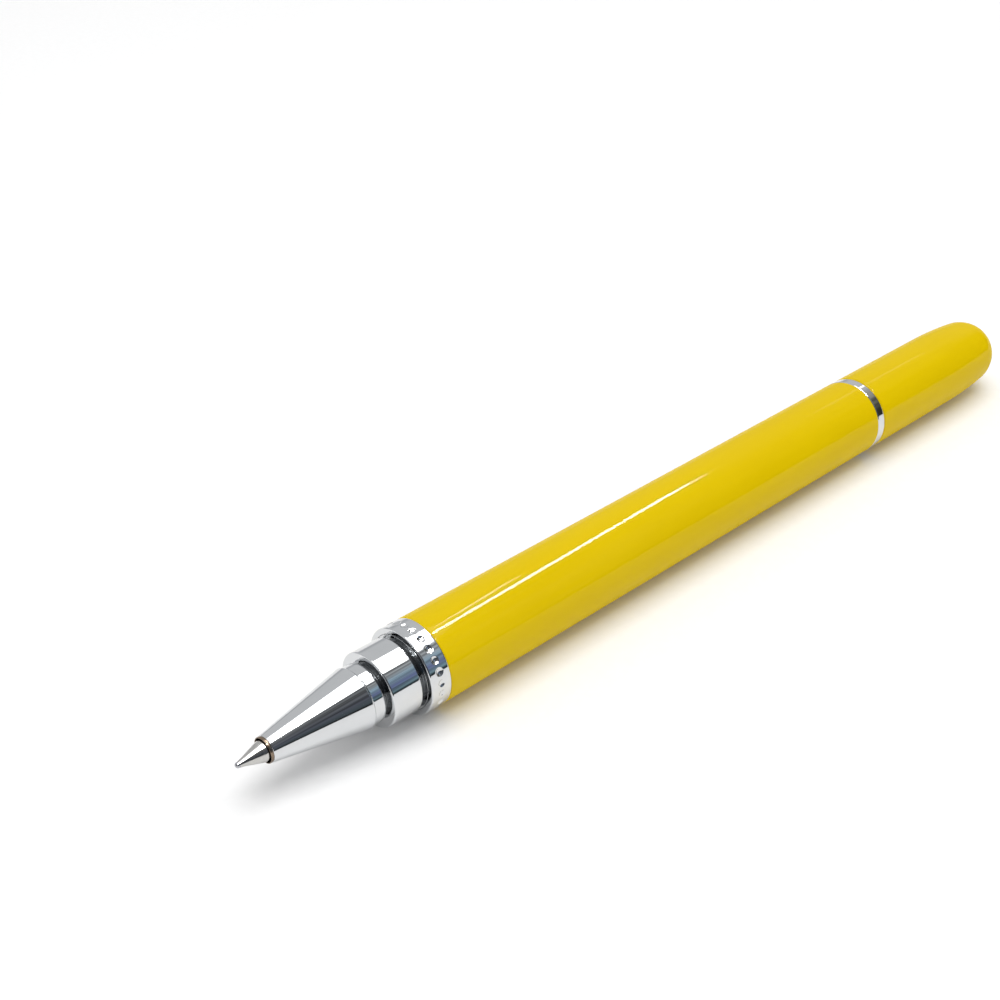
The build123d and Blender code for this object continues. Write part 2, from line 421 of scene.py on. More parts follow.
@dataclass(frozen=True)
class Dusted(Coating):
    """A plain surface with one pattern in its colour, its gloss and its relief."""

    colour: Colour
    second: Colour
    scale: Triple
    polish: Limits
    relief: float
    gloss: float = 0.5
    detail: float = 3.0
    roughness: float = 0.5

    def paint(self, graph: Graph) -> None:
        """Add the pattern.

        Args:
            graph: The material's node tree.
        """
        graph.set(specular_ior_level=self.gloss)
        pattern = graph.noise(self.scale, self.detail, self.roughness)
        graph.wire(
            base_color=graph.blend(pattern, self.colour, self.second),
            roughness=graph.between(pattern, self.polish),
            normal=graph.bump(pattern, self.relief),
        )


class Finish(Enum):
    """The finishes of the pen's pieces."""

    LACQUER = Lacquer()
    CHROME = Plating()
    # Painted shade: plating darkened so that the floors of grooves and the inside of the mouth bush look
    # shaded.
    GROOVE = Plating((0.20, 0.21, 0.215), (0.11, 0.115, 0.12), polish=(0.16, 0.28))
    BRASS = TurnedMetal((0.72, 0.52, 0.22), (0.60, 0.42, 0.17))
    MOUTH_BRONZE = TurnedMetal((0.27, 0.205, 0.15), (0.19, 0.14, 0.10), (0.14, 0.22))
    DRAWN_BRASS = TurnedMetal((0.74, 0.55, 0.25), (0.66, 0.47, 0.20), (0.16, 0.26), 0.0004)
    STEEL = TurnedMetal((0.60, 0.59, 0.57), (0.50, 0.49, 0.47), (0.12, 0.22), 0.0008)
    SPRING_WIRE = TurnedMetal((0.58, 0.58, 0.58), (0.47, 0.47, 0.48), (0.2, 0.3), 0.0002)
    BALL_STEEL = TurnedMetal((0.50, 0.50, 0.52), (0.42, 0.42, 0.45), (0.06, 0.1), 0.0)
    BLACK_PLASTIC = Moulding((0.022, 0.022, 0.024), (0.034, 0.034, 0.036))
    WHITE_PLASTIC = Moulding((0.74, 0.735, 0.71), (0.67, 0.665, 0.635))
    MILKY_PLASTIC = Moulding((0.80, 0.80, 0.78), (0.72, 0.72, 0.70), (0.24, 0.36), see_through=0.25)
    RUBBER = Dusted(
        (0.018, 0.018, 0.019), (0.045, 0.045, 0.047), (1800.0, 1800.0, 1800.0), (0.62, 0.82), 0.006,
        gloss=0.35, detail=5.0, roughness=0.7,
    )
    INK = Dusted((0.004, 0.006, 0.05), (0.012, 0.02, 0.16), (90.0, 900.0, 900.0), (0.06, 0.14), 0.01)
    PALE_TABLE = Dusted(
        (0.94, 0.94, 0.94), (0.92, 0.92, 0.92), (700.0, 700.0, 700.0), (0.62, 0.7), 0.01,
        gloss=0.2, detail=4.0,
    )


@lru_cache(maxsize=None)
def material(finish: Finish) -> bpy.types.Material:
    """The material of a finish, made when a piece first needs it."""
    return finish.value.make(finish.name.lower())


# --- Turning ---


@dataclass(frozen=True)
class Span:
    """Where a CAD node lies along the pen's axis, and its outside radius, in millimetres."""

    start: float
    end: float
    radius: float

    @property
    def middle(self) -> float:
        """The station half-way along."""
        return (self.start + self.end) / 2


@lru_cache(maxsize=None)
def span(node: str) -> Span:
    """Measure a CAD node.

    Args:
        node: The node's name.

    Returns:
        Its place along the pen.
    """
    low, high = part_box(node)
    return Span(low.x / MM, high.x / MM, (high.y - low.y) / 2 / MM)


@lru_cache(maxsize=None)
def axis_height() -> float:
    """The height of the pen's axis above the table, in metres."""
    low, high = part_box("barrel_tube")
    return (low.z + high.z) / 2


class Outline:
    """Half of a turned piece's lengthwise section, drawn point by point and then turned about the axis."""

    def __init__(self, x: float, radius: float, soft: float = 0.0) -> None:
        """Start the section at a point.

        Args:
            x: The point's station along the pen.
            radius: Its distance from the axis.
            soft: How far its corner is rounded back along each side.
        """
        self.mesh = bmesh.new()
        self.first = self.mesh.verts.new((x, 0.0, radius))
        self.tip = self.first
        self.corners: list[tuple[bmesh.types.BMVert, float]] = [(self.first, soft)]

    def to(self, x: float, radius: float, soft: float = 0.0) -> "Outline":
        """Draw a straight run.

        Args:
            x: The run's end along the pen.
            radius: Its end's distance from the axis.
            soft: How far the corner there is rounded back along each side.

        Returns:
            This outline.
        """
        made = bmesh.ops.extrude_vert_indiv(self.mesh, verts=[self.tip])["verts"][0]
        step = Vector((x, 0.0, radius)) - made.co
        bmesh.ops.translate(self.mesh, verts=[made], vec=step)
        self.tip = made
        self.corners.append((made, soft))
        return self

    def swing(self, centre_x: float, centre_radius: float, angle: float, steps: int) -> "Outline":
        """Draw a round run about a centre.

        Args:
            centre_x: The centre's station along the pen.
            centre_radius: The centre's distance from the axis.
            angle: The run's angle, positive from the radius towards the tail.
            steps: How many straight pieces it has.

        Returns:
            This outline.
        """
        made = bmesh.ops.spin(
            self.mesh, geom=[self.tip], cent=(centre_x, 0.0, centre_radius), axis=(0.0, 1.0, 0.0),
            dvec=ORIGIN, angle=angle, steps=steps, use_merge=False, use_duplicate=False,
        )
        self.tip = next(g for g in made["geom_last"] if isinstance(g, bmesh.types.BMVert))
        return self

    def notch(
        self, start: float, radius: float, slope: float, width: float, depth: float, soft: float,
    ) -> None:
        """Draw a groove with sloping sides into a straight run.

        Args:
            start: The groove's first station.
            radius: The run's distance from the axis.
            slope: The length of each sloping side.
            width: How far along the second slope starts.
            depth: The groove's depth.
            soft: How far its corners are rounded back along each side.
        """
        for along, drop in ((0.0, 0.0), (slope, depth), (width, depth), (width + slope, 0.0)):
            self.to(start + along, radius - drop, soft)

    def on_axis(self) -> "Outline":
        """Bring the last point exactly to the axis."""
        self.tip.co.z = 0.0
        return self

    def close(self) -> "Outline":
        """Join the last point to the first."""
        self.mesh.edges.new((self.tip, self.first))
        return self

    def soften(self, rounds: int) -> None:
        """Round the corners that ask for it.

        Args:
            rounds: How many straight pieces each rounding has.
        """
        for size in sorted({soft for _, soft in self.corners if soft > 0}):
            picked = [corner for corner, soft in self.corners if soft == size]
            bmesh.ops.bevel(
                self.mesh, geom=picked, offset=size, offset_type="OFFSET", segments=rounds, profile=0.5,
                affect="VERTICES", material=-1, clamp_overlap=False,
            )

    def steady(self, reach: float) -> None:
        """Add a point near each end of every long run, so that the shading of a rounding stays beside it.

        Args:
            reach: How far from the run's end the point is.
        """
        for edge in [e for e in self.mesh.edges if e.calc_length() > LONG_RUN * reach]:
            near, far = edge.verts
            length = edge.calc_length()
            _, added = bmesh.utils.edge_split(edge, near, reach / length)
            rest = next(e for e in added.link_edges if far in e.verts)
            bmesh.utils.edge_split(rest, far, reach / (length - reach))

    def turn(self, steps: int, rounds: int = 5, reach: float = 0.06) -> bmesh.types.BMesh:
        """Turn the section once round the axis.

        Args:
            steps: How many facets there are round the piece.
            rounds: How many straight pieces each rounded corner has.
            reach: How far the steadying points are from the ends of long runs.

        Returns:
            The turned mesh, in millimetres, with its doubles merged and its faces outwards.
        """
        self.soften(rounds)
        self.steady(reach)
        mesh = self.mesh
        bmesh.ops.spin(
            mesh, geom=list(mesh.verts) + list(mesh.edges), cent=ORIGIN, axis=PEN_AXIS,
            dvec=ORIGIN, angle=2 * pi, steps=steps, use_merge=True, use_duplicate=False,
        )
        bmesh.ops.remove_doubles(mesh, verts=mesh.verts, dist=WELD)
        bmesh.ops.recalc_face_normals(mesh, faces=mesh.faces)
        return mesh


def settle(mesh: bmesh.types.BMesh, name: str, finish: Finish, slot: Slot, body: Body,
           *replaced: str) -> bpy.types.Object:
    """Bring a finished mesh into the frame, dress it and let it ride.

    Args:
        mesh: The mesh, in millimetres about the pen's axis. It is used up.
        name: The piece's name.
        finish: Its finish.
        slot: The record's material slot that it stands for; not used.
        body: The body it rides on.
        *replaced: The CAD nodes it stands for.

    Returns:
        The piece.
    """
    for face in mesh.faces:
        face.smooth = True
    for edge in mesh.edges:
        if len(edge.link_faces) == 2 and edge.calc_face_angle(0.0) > SHARP:
            edge.smooth = False
    bmesh.ops.scale(mesh, verts=mesh.verts, vec=(MM, MM, MM))
    bmesh.ops.translate(mesh, verts=mesh.verts, vec=(0.0, 0.0, axis_height()))
    data = bpy.data.meshes.new(name)
    mesh.to_mesh(data)
    mesh.free()
    data.materials.append(material(finish))
    piece = bpy.data.objects.new(name, data)
    bpy.context.scene.collection.objects.link(piece)
    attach(piece, body.value)
    if replaced:
        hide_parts(*replaced)
    log.info("%s: %d faces, on %s", name, len(data.polygons), body.value)
    return piece


def shade(piece: bpy.types.Object, start: float, end: float, radius: float, finish: Finish) -> None:
    """Paint shade into the bottom of a groove or hollow, as a darker second finish.

    Args:
        piece: The piece with the groove.
        start: The groove's first station along the pen.
        end: Its last station.
        radius: How far out the second finish reaches.
        finish: The second finish, which carries the painted shade.
    """
    piece.data.materials.append(material(finish))
    last = len(piece.data.materials) - 1
    for face in piece.data.polygons:
        away = hypot(face.center.y, face.center.z - axis_height()) / MM
        if start < face.center.x / MM < end and away < radius:
            face.material_index = last


def dress(node: str, finish: Finish) -> None:
    """Give a CAD node that stays its finish.

    Args:
        node: The node's name.
        finish: Its finish.
    """
    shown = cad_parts[node]
    shown.data.materials.clear()
    shown.data.materials.append(material(finish))
    log.info("%s keeps its CAD shape, in %s", node, finish.name.lower())


# --- Barrel ---


@dataclass
class Barrel:
    """Lacquered tube with its punched front ring, its rear ring and the band that the cap is posted on."""

    wall: float = 0.6
    facets: int = 256
    lacquer_edge: float = 0.12
    ring_edge: float = 0.16
    spigot_radius: float = 4.9
    ring_bore: float = 4.05
    ring_mouth: float = 4.75
    mouth_depth: float = 0.8
    dimples: int = 24
    dimple_radius: float = 0.48
    dimple_depth: float = 0.2
    dimple_bowl: float = 0.7
    dimple_margin: float = 1.3
    dimple_skin: float = 0.01
    dimple_cells: int = 22
    dimple_rows: int = 16
    band_radius: float = 4.35
    stem_bore: float = 3.5
    groove_radius: float = 3.9
    groove_width: float = 0.35
    fit: float = 0.02
    bore_edge: float = 0.05
    spigot_edge: float = 0.1
    stem_edge: float = 0.12
    lead_edge: float = 0.25
    tail_edge: float = 0.35

    def build(self) -> None:
        """Build and dress every piece of the barrel."""
        self.tube()
        self.front_ring()
        self.rear_ring()
        self.rear_band()
        dress("front_bushing", Finish.BRASS)
        dress("refill_guide", Finish.WHITE_PLASTIC)
        dress("cam_sleeve", Finish.BLACK_PLASTIC)

    def tube(self) -> None:
        """The lacquered tube, its lacquer rolled softly over both ends."""
        at = span("barrel_tube")
        bore = at.radius - self.wall
        outline = Outline(at.start, bore, self.bore_edge).to(at.start, at.radius, self.lacquer_edge)
        outline.to(at.end, at.radius, self.lacquer_edge).to(at.end, bore, self.bore_edge).close()
        mesh = outline.turn(self.facets)
        settle(mesh, "lacquered_tube", Finish.LACQUER, Slot.LACQUER, Body.BARREL, "barrel_tube")

    def front_ring(self) -> None:
        """The wide ring, with its row of punched dimples, and the spigot that holds it in the tube."""
        at = span("front_ring")
        shoulder = span("barrel_tube").start
        outline = Outline(at.start, self.ring_mouth, self.bore_edge).to(at.start, at.radius, self.ring_edge)
        centre = (at.start + shoulder) / 2
        reach = self.dimple_radius * self.dimple_margin
        outline.to(centre - reach, at.radius)
        for row in range(1, self.dimple_rows + 1):
            outline.to(centre - reach + 2 * reach * row / self.dimple_rows, at.radius)
        outline.to(shoulder, at.radius, self.ring_edge).to(shoulder, self.spigot_radius)
        outline.to(at.end, self.spigot_radius, self.spigot_edge).to(at.end, self.ring_bore, self.bore_edge)
        mouth = at.start + self.mouth_depth
        outline.to(mouth, self.ring_bore).to(mouth, self.ring_mouth)
        mesh = outline.close().turn(self.dimples * self.dimple_cells, rounds=4)
        self.punch(mesh, centre, at.radius)
        settle(mesh, "punched_front_ring", Finish.CHROME, Slot.CHROME, Body.BARREL, "front_ring")

    def punch(self, mesh: bmesh.types.BMesh, centre: float, radius: float) -> None:
        """Press the row of round-bottomed dimples into the ring.

        Args:
            mesh: The ring's mesh.
            centre: The row's station along the pen.
            radius: The ring's outside radius.
        """
        pitch = 2 * pi / self.dimples
        for vert in mesh.verts:
            out = hypot(vert.co.y, vert.co.z)
            if abs(out - radius) > self.dimple_skin or abs(vert.co.x - centre) > self.dimple_radius:
                continue
            turn = atan2(vert.co.y, vert.co.z) / pitch - 0.5
            away = hypot((turn - round(turn)) * pitch * radius, vert.co.x - centre) / self.dimple_radius
            if away < 1.0:
                drop = self.dimple_depth * (1 - away * away) ** self.dimple_bowl
                vert.co.yz = vert.co.yz * (1 - drop / out)

    def rear_ring(self) -> None:
        """The narrow plain ring."""
        at = span("rear_ring")
        bore = self.band_radius + self.fit
        outline = Outline(at.start, bore).to(at.start, at.radius, self.ring_edge)
        outline.to(at.end, at.radius, self.ring_edge).to(at.end, bore, self.bore_edge).close()
        mesh = outline.turn(self.facets)
        settle(mesh, "plain_rear_ring", Finish.CHROME, Slot.CHROME, Body.BARREL, "rear_ring")

    def rear_band(self) -> None:
        """The band behind the groove, with the shank that holds it in the tube."""
        at, ring = span("rear_band"), span("rear_ring")
        groove_end = ring.end + self.groove_width
        seat = self.band_radius + self.fit
        outline = Outline(at.start, self.stem_bore).to(at.start, at.radius, self.spigot_edge)
        outline.to(ring.start, at.radius).to(ring.start, seat).to(ring.end, seat)
        outline.to(ring.end, self.groove_radius, self.bore_edge)
        outline.to(groove_end, self.groove_radius, self.bore_edge)
        outline.to(groove_end, self.band_radius, self.lead_edge).to(at.end, self.band_radius, self.tail_edge)
        outline.to(at.end, self.stem_bore, self.stem_edge).close()
        mesh = outline.turn(self.facets)
        settle(mesh, "posting_band", Finish.CHROME, Slot.CHROME, Body.BARREL, "rear_band")


# --- Nose section ---


@dataclass
class Nose:
    """Chromed band with its threaded shank, chromed cone, mouth bush and seal ring."""

    facets: int = 256
    edge: float = 0.16
    bore: float = 2.45
    shank_bore: float = 3.1
    spigot_radius: float = 2.95
    undercut_radius: float = 3.2
    undercut_width: float = 0.45
    band_width: float = 4.1
    neck_radius: float = 3.9
    neck_width: float = 0.7
    shade_depth: float = 0.3
    flange_radius: float = 4.7
    flange_width: float = 0.12
    shank_radius: float = 4.0
    thread_start: float = 3.0
    thread_pitch: float = 0.75
    thread_depth: float = 0.2
    collar_width: float = 1.6
    collar_radius: float = 3.7
    cone_front: float = 1.62
    mouth_radius: float = 1.32
    bush_radius: float = 1.48
    bush_length: float = 3.0
    lip_radius: float = 1.58
    countersink_radius: float = 1.48
    countersink_depth: float = 0.7
    mouth_edge: float = 0.02
    face_skin: float = 0.01
    throat_skin: float = 0.03
    seat_radius: float = 1.85
    seat_depth: float = 8.4
    over_press: float = 1.3
    flange_edge: float = 0.03
    fine_edge: float = 0.04
    thread_edge: float = 0.05
    lip_edge: float = 0.06
    neck_edge: float = 0.08
    bore_edge: float = 0.1
    step: float = 0.12
    shank_edge: float = 0.15
    shank_wall: float = 1.0
    thread_end: float = 0.3
    small_facets: int = 128
    seal_steps: int = 20

    def build(self) -> None:
        """Build and dress every piece of the nose section."""
        self.band()
        self.cone()
        self.bush()
        self.seal()

    def band(self) -> None:
        """The band between its two undercuts, and the threaded shank behind it."""
        at, cone = span("nose_band"), span("nose_cone")
        undercut, front = cone.end, cone.end + self.undercut_width
        neck = front + self.band_width
        shank = neck + self.neck_width
        radius = at.radius
        outline = Outline(at.start, self.bore).to(at.start, self.spigot_radius)
        outline.to(undercut, self.spigot_radius).to(undercut, self.undercut_radius)
        outline.to(front, self.undercut_radius, self.lip_edge)
        outline.to(front, radius, self.edge).to(neck, radius, self.edge)
        outline.to(neck, self.neck_radius, self.neck_edge).to(shank, self.neck_radius)
        outline.to(shank, self.flange_radius, self.flange_edge)
        flange = shank + self.flange_width
        outline.to(flange, self.flange_radius, self.flange_edge).to(flange, self.shank_radius)
        self.thread(outline, shank + self.thread_start, at.end - self.thread_end)
        hollow = front + self.shank_wall
        outline.to(at.end, self.shank_radius, self.shank_edge).to(at.end, self.shank_bore, self.bore_edge)
        outline.to(hollow, self.shank_bore).to(hollow, self.bore).close()
        mesh = outline.turn(self.facets, rounds=4)
        piece = settle(mesh, "nose_band_and_thread", Finish.CHROME, Slot.CHROME, Body.NOSE, "nose_band")
        # Painted shade on the floors of both undercuts.
        shade(piece, undercut, front, self.undercut_radius + self.shade_depth, Finish.GROOVE)
        shade(piece, neck, shank, self.neck_radius + self.shade_depth, Finish.GROOVE)

    def thread(self, outline: Outline, station: float, limit: float) -> None:
        """Draw the thread's crests and roots.

        Args:
            outline: The band's outline, drawn up to the shank.
            station: Where the thread starts.
            limit: Where its last turn has to have ended.
        """
        while station + self.thread_pitch < limit:
            outline.to(station, self.shank_radius, self.thread_edge)
            root = self.shank_radius - self.thread_depth
            outline.to(station + self.thread_pitch / 2, root, self.thread_edge)
            station += self.thread_pitch
        outline.to(station, self.shank_radius, self.thread_edge)

    def cone(self) -> None:
        """The long cone, with a soft step down to its collar."""
        at, mouth = span("nose_cone"), span("point_bush")
        collar = at.end - self.collar_width
        bush_end = mouth.start + self.bush_length
        seat = mouth.start + self.seat_depth - self.over_press
        spigot = span("nose_band").start
        outline = Outline(at.start, self.bush_radius).to(at.start, self.cone_front, self.bore_edge)
        outline.to(collar, at.radius, self.step).to(collar + self.step, self.collar_radius, self.fine_edge)
        outline.to(at.end, self.collar_radius, self.edge).to(at.end, self.spigot_radius, self.fine_edge)
        outline.to(spigot, self.spigot_radius).to(spigot, self.bore).to(seat, self.bore)
        outline.to(seat, self.seat_radius, self.bore_edge).to(bush_end, self.seat_radius)
        outline.to(bush_end, self.bush_radius).close()
        settle(outline.turn(self.facets), "turned_cone", Finish.CHROME, Slot.CHROME, Body.NOSE, "nose_cone")

    def bush(self) -> None:
        """The small bush that guides the point, with a rolled lip."""
        at, cone = span("point_bush"), span("nose_cone")
        throat = at.start + self.countersink_depth
        outline = Outline(at.start, self.countersink_radius, self.mouth_edge)
        outline.to(at.start, self.lip_radius, self.lip_edge).to(cone.start, self.lip_radius, self.lip_edge)
        outline.to(cone.start, self.bush_radius).to(at.end, self.bush_radius, self.fine_edge)
        outline.to(at.end, self.mouth_radius, self.fine_edge)
        outline.to(throat, self.mouth_radius, self.thread_edge).close()
        mesh = outline.turn(self.small_facets)
        piece = settle(mesh, "mouth_bush", Finish.MOUTH_BRONZE, Slot.BRASS, Body.NOSE, "point_bush")
        # Painted shade inside the countersink and the bore of the bush.
        inside = self.bush_radius - self.throat_skin
        shade(piece, at.start + self.face_skin, at.end, inside, Finish.GROOVE)

    def seal(self) -> None:
        """The rubber ring behind the neck."""
        at = span("nose_seal_ring")
        wire = (at.end - at.start) / 2
        centre = at.radius - wire
        outline = Outline(at.start, centre).swing(at.middle, centre, 2 * pi, self.seal_steps)
        mesh = outline.turn(self.small_facets, reach=UNSTEADIED)
        settle(mesh, "seal_ring", Finish.RUBBER, Slot.RUBBER, Body.NOSE, "nose_seal_ring")


# --- Refill ---


@dataclass
class Refill:
    """Writing point and ball, neck, spring collar, tube, ink, end plug and the return spring."""

    facets: int = 128
    point_radius: float = 1.25
    point_body: float = 8.1
    point_reach: float = 0.03
    cone_reach: float = 3.3
    cone_edge: float = 0.3
    nib_radius: float = 0.5
    nib_reach: float = 1.0
    nib_edge: float = 0.06
    cup_radius: float = 0.37
    cup_wall: float = 0.06
    cup_edge: float = 0.02
    cup_depth: float = 0.25
    groove_back: float = 1.5
    groove_slope: float = 0.12
    groove_width: float = 0.4
    groove_depth: float = 0.08
    groove_edge: float = 0.03
    tail_radius: float = 0.8
    tail_edge: float = 0.1
    feed_radius: float = 0.4
    feed_start: float = 1.0
    jet_radius: float = 0.2
    jet_end: float = 0.75
    ball_facets: int = 48
    ball_steps: int = 24
    neck_radius: float = 1.6
    neck_edge: float = 0.15
    collar_edge: float = 0.12
    crimp_start: float = 2.0
    crimp_slope: float = 0.3
    crimp_width: float = 0.7
    crimp_depth: float = 0.12
    crimp_edge: float = 0.1
    tube_edge: float = 0.12
    tube_wall: float = 0.4
    wire_radius: float = 0.175
    wire_facets: int = 12
    turns: int = 8
    turn_steps: int = 40

    def build(self) -> None:
        """Build and dress every piece of the refill."""
        self.point()
        self.ball()
        self.neck()
        self.tube()
        self.spring()
        dress("ink_column", Finish.INK)
        dress("refill_plug", Finish.WHITE_PLASTIC)

    def point(self) -> None:
        """The turned point, open at its end where the ball sits."""
        at, tip = span("writing_point"), span("writing_ball").start
        outline = Outline(at.start, self.cup_radius - self.cup_wall)
        outline.to(at.start, self.cup_radius, self.cup_edge)
        outline.to(tip + self.nib_reach, self.nib_radius, self.nib_edge)
        outline.to(tip + self.cone_reach, self.point_radius, self.cone_edge)
        groove = tip + self.cone_reach + self.groove_back
        outline.notch(
            groove, self.point_radius, self.groove_slope, self.groove_width, self.groove_depth,
            self.groove_edge,
        )
        shoulder = tip + self.point_body
        outline.to(shoulder, self.point_radius, self.tail_edge).to(shoulder, self.tail_radius)
        outline.to(at.end, self.tail_radius, self.tail_edge).to(at.end, self.feed_radius)
        outline.to(tip + self.feed_start, self.feed_radius).to(tip + self.jet_end, self.jet_radius)
        outline.to(at.start + self.cup_depth, self.jet_radius).close()
        mesh = outline.turn(self.facets, reach=self.point_reach)
        settle(mesh, "writing_tip", Finish.STEEL, Slot.STEEL, Body.REFILL, "writing_point")

    def ball(self) -> None:
        """The writing ball."""
        at = span("writing_ball")
        outline = Outline(at.start, 0.0).swing(at.middle, 0.0, pi, self.ball_steps).on_axis()
        mesh = outline.turn(self.ball_facets, reach=UNSTEADIED)
        settle(mesh, "ball_bead", Finish.BALL_STEEL, Slot.STEEL, Body.REFILL, "writing_ball")

    def neck(self) -> None:
        """The plastic neck and the brass collar on it."""
        at, collar = span("point_holder"), span("spring_collar")
        tube, tail = span("refill_tube"), span("writing_point").end
        outline = Outline(at.start, self.tail_radius).to(at.start, self.neck_radius, self.neck_edge)
        outline.to(tube.start, self.neck_radius).to(tube.start, at.radius)
        outline.to(at.end, at.radius, self.neck_edge).to(at.end, self.feed_radius)
        outline.to(tail, self.feed_radius).to(tail, self.tail_radius).close()
        mesh = outline.turn(self.facets)
        settle(mesh, "refill_neck", Finish.MILKY_PLASTIC, Slot.WHITE, Body.REFILL, "point_holder")
        outline = Outline(collar.start, self.neck_radius).to(collar.start, collar.radius, self.collar_edge)
        outline.to(collar.end, collar.radius, self.collar_edge).to(collar.end, self.neck_radius).close()
        mesh = outline.turn(self.facets)
        settle(mesh, "spring_stop", Finish.BRASS, Slot.BRASS, Body.REFILL, "spring_collar")

    def tube(self) -> None:
        """The drawn brass tube, crimped near its front where it grips the neck."""
        at = span("refill_tube")
        bore = at.radius - self.tube_wall
        crimp = at.start + self.crimp_start
        outline = Outline(at.start, bore).to(at.start, at.radius, self.tube_edge)
        outline.notch(
            crimp, at.radius, self.crimp_slope, self.crimp_width, self.crimp_depth, self.crimp_edge,
        )
        outline.to(at.end, at.radius, self.tube_edge).to(at.end, bore).close()
        mesh = outline.turn(self.facets)
        settle(mesh, "refill_body", Finish.DRAWN_BRASS, Slot.BRASS, Body.REFILL, "refill_tube")

    def spring(self) -> None:
        """The coil spring, with its wire wound round the refill's point."""
        at = span("return_spring")
        mesh = bmesh.new()
        made = bmesh.ops.create_circle(
            mesh, cap_ends=True, segments=self.wire_facets, radius=self.wire_radius,
        )["verts"]
        bmesh.ops.rotate(mesh, verts=made, cent=ORIGIN, matrix=Matrix.Rotation(pi / 2, 3, "Z"))
        first = (at.start + self.wire_radius, at.radius - self.wire_radius, 0.0)
        bmesh.ops.translate(mesh, verts=made, vec=first)
        steps = self.turns * self.turn_steps
        run = at.end - at.start - 2 * self.wire_radius
        bmesh.ops.spin(
            mesh, geom=list(mesh.verts) + list(mesh.edges) + list(mesh.faces), cent=ORIGIN,
            axis=PEN_AXIS, dvec=(run / steps, 0.0, 0.0), angle=2 * pi * self.turns, steps=steps,
            use_merge=False, use_duplicate=False,
        )
        bmesh.ops.remove_doubles(mesh, verts=mesh.verts, dist=WELD)
        bmesh.ops.recalc_face_normals(mesh, faces=mesh.faces)
        settle(mesh, "coil_spring", Finish.SPRING_WIRE, Slot.STEEL, Body.REFILL, "return_spring")


# --- Click mechanism ---


@dataclass
class Click:
    """Turning cam, toothed plunger, stem and knob."""

    facets: int = 256
    stem_bore: float = 2.4
    tenon_radius: float = 2.8
    tenon_length: float = 1.4
    stem_edge: float = 0.1
    knob_lip: float = 0.18
    knob_edge: float = 1.0
    knob_dome: float = 0.3
    round_steps: int = 12

    def build(self) -> None:
        """Build and dress every piece of the click mechanism."""
        self.stem()
        self.knob()
        dress("cam_rotor", Finish.WHITE_PLASTIC)
        dress("plunger", Finish.BLACK_PLASTIC)

    def stem(self) -> None:
        """The stem that slides in the rear band."""
        at, knob = span("button_stem"), span("button_knob")
        outline = Outline(at.start, self.stem_bore).to(at.start, at.radius, self.stem_edge)
        outline.to(knob.start, at.radius).to(knob.start, self.tenon_radius)
        outline.to(at.end, self.tenon_radius, self.stem_edge).to(at.end, self.stem_bore).close()
        mesh = outline.turn(self.facets)
        settle(mesh, "push_stem", Finish.CHROME, Slot.CHROME, Body.BUTTON, "button_stem")

    def knob(self) -> None:
        """The knob, with its full round rim and its slightly domed end."""
        at = span("button_knob")
        edge = at.end - self.knob_dome - self.knob_edge
        rim = at.radius - self.knob_edge
        crown = (rim**2 + self.knob_dome**2) / (2 * self.knob_dome)
        lean = asin(rim / crown)
        tenon = at.start + self.tenon_length
        outline = Outline(tenon, 0.0).to(tenon, self.tenon_radius).to(at.start, self.tenon_radius)
        outline.to(at.start, at.radius, self.knob_lip).to(edge, at.radius)
        outline.swing(edge, rim, pi / 2 - lean, self.round_steps)
        outline.swing(at.end - crown, 0.0, lean, self.round_steps).on_axis()
        mesh = outline.turn(self.facets)
        settle(mesh, "push_knob", Finish.CHROME, Slot.CHROME, Body.BUTTON, "button_knob")


# --- Cap ---


